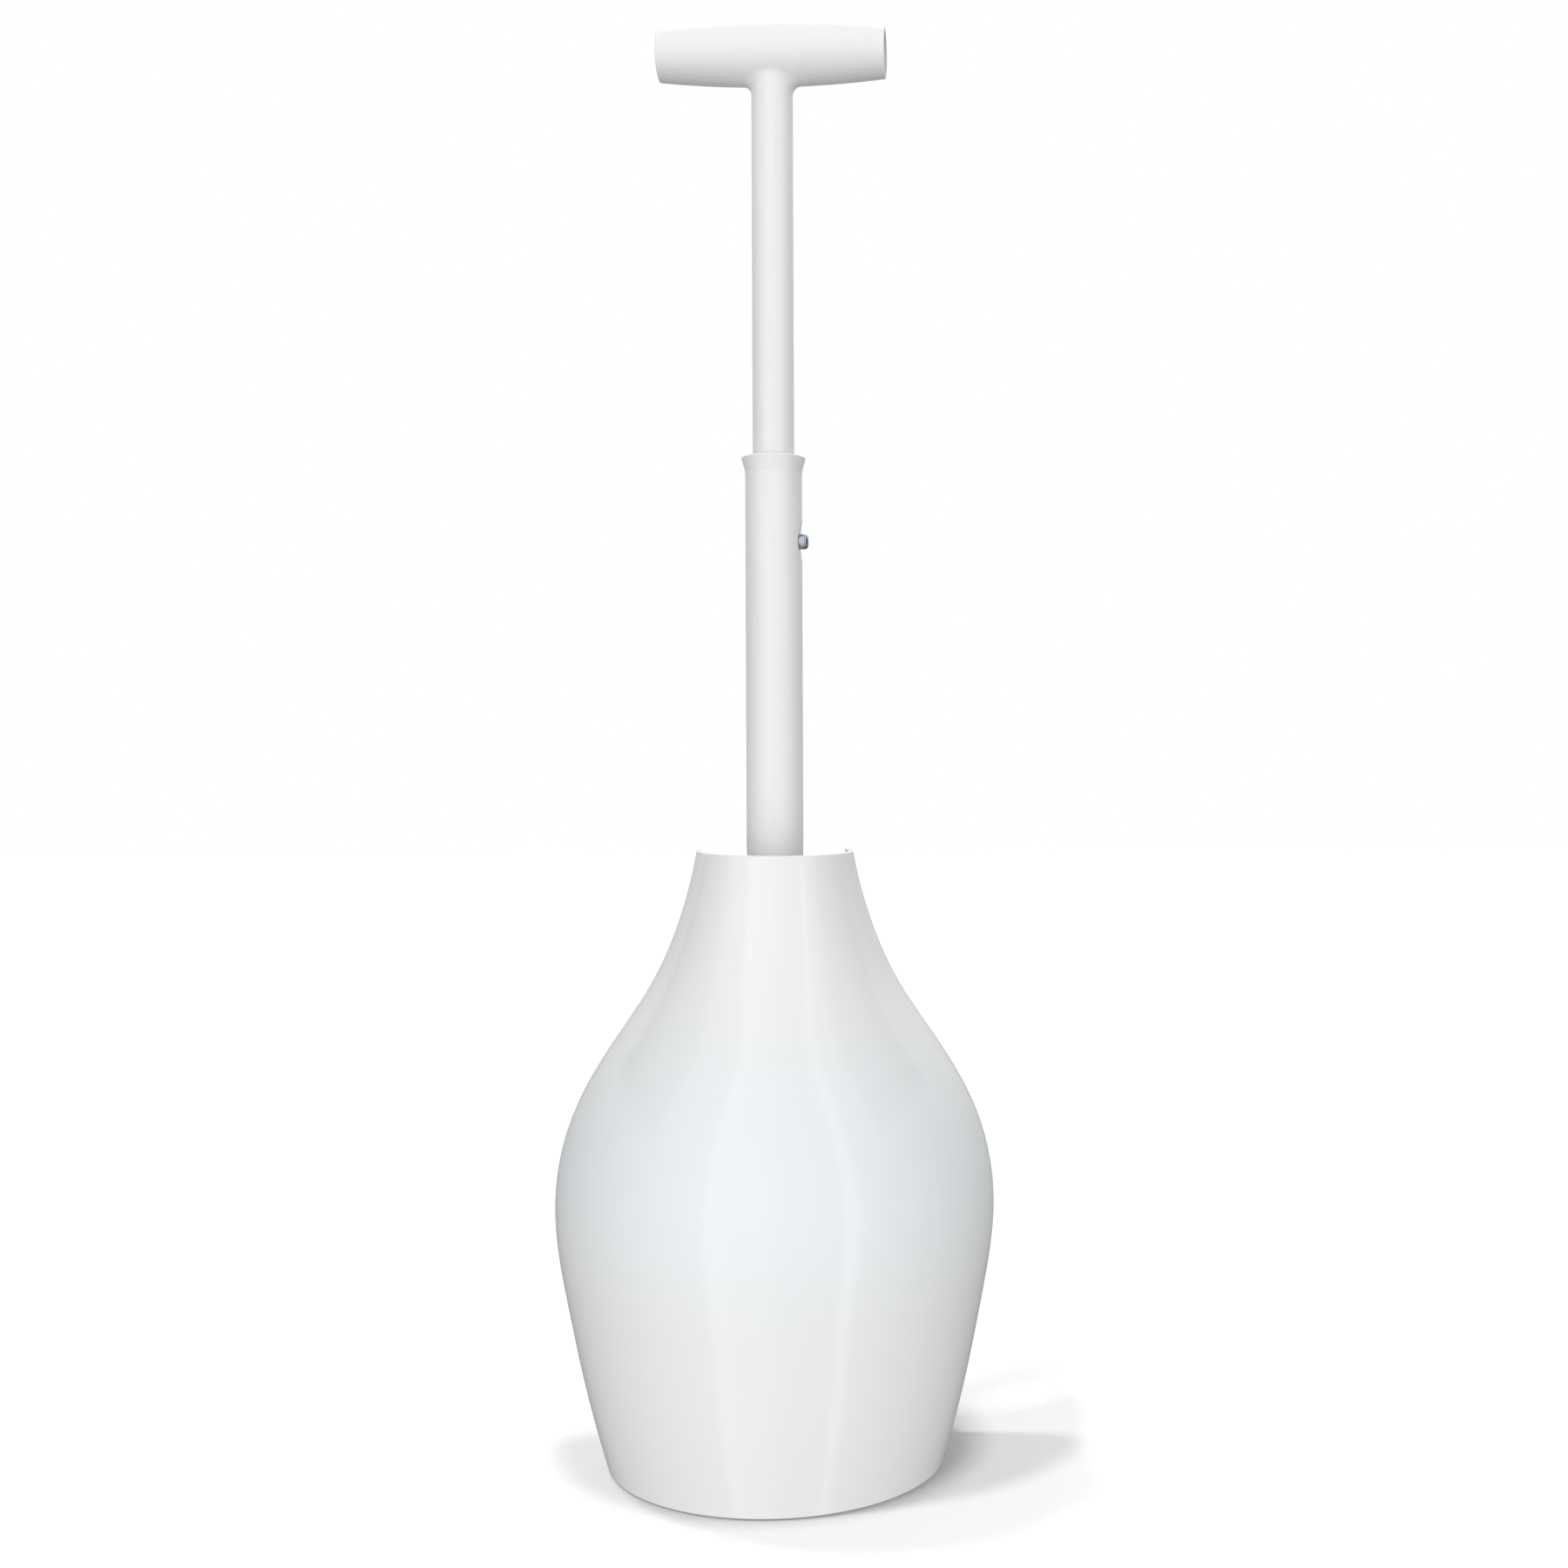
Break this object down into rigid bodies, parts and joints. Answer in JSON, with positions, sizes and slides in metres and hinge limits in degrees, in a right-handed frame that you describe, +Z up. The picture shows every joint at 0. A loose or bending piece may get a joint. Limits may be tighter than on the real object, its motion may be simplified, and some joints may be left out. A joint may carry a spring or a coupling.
{
  "type": "toilet plunger",
  "caption": "T-handle toilet plunger with a telescoping shaft, snap-button lock and flanged rubber cup, standing in a bulb-shaped holder that is open at the back.",
  "frame": {"origin": "on the floor, on the plunger's vertical axis, at the centre of the pad under the holder", "axes": "+Z up along the shaft; X along the grip and the snap button, with the button at +X; the holder's closed front faces -Y and its open back faces +Y, turned 14 degrees towards -X"},
  "size_m": [0.1795, 0.1609, 0.5908],
  "materials": {
    "shell_plastic": "satin white, moulded",
    "base_plastic": "satin white, moulded",
    "tube_plastic": "satin white, drawn tube",
    "handle_plastic": "satin white, moulded",
    "bush_plastic": "natural acetal",
    "plug_plastic": "natural nylon",
    "pad_rubber": "fine texture",
    "cup_rubber": "soft matt moulded",
    "polished_steel": "polished",
    "spring_steel": "rolled strip",
    "zinc_steel": "zinc plated",
    "brass_insert": "turned"
  },
  "bodies": {
    "holder": {"holder_shell": "shell_plastic", "holder_base": "base_plastic", "base_screws": "zinc_steel", "nonslip_pad": "pad_rubber"},
    "plunger": {"outer_tube": "tube_plastic", "guide_bush": "bush_plastic", "tube_plug": "plug_plastic", "plug_pin": "zinc_steel", "screw_insert": "brass_insert", "cup_washer": "zinc_steel", "cup_screw": "zinc_steel", "rubber_cup": "cup_rubber"},
    "handle": {"t_handle": "handle_plastic", "stop_ring": "bush_plastic", "shaft_plug": "plug_plastic", "button_spring": "spring_steel"},
    "button": {"snap_button": "polished_steel"}
  },
  "joints": [
    {"name": "plunger_take_out", "type": "slide", "parent": "holder", "child": "plunger", "axis": [-0.2419, 0.9703, 0], "range_m": [0, 0.15]},
    {"name": "telescope", "type": "slide", "parent": "plunger", "child": "handle", "axis": [0, 0, 1], "range_m": [-0.142, 0], "deforming": ["snap_button", "button_spring"]},
    {"name": "button_press", "type": "slide", "parent": "handle", "child": "button", "axis": [-1, 0, 0], "range_m": [0, 0.005], "stiffness_N_per_m": 1500, "springref_m": -0.002, "deforming": ["button_spring"]}
  ]
}
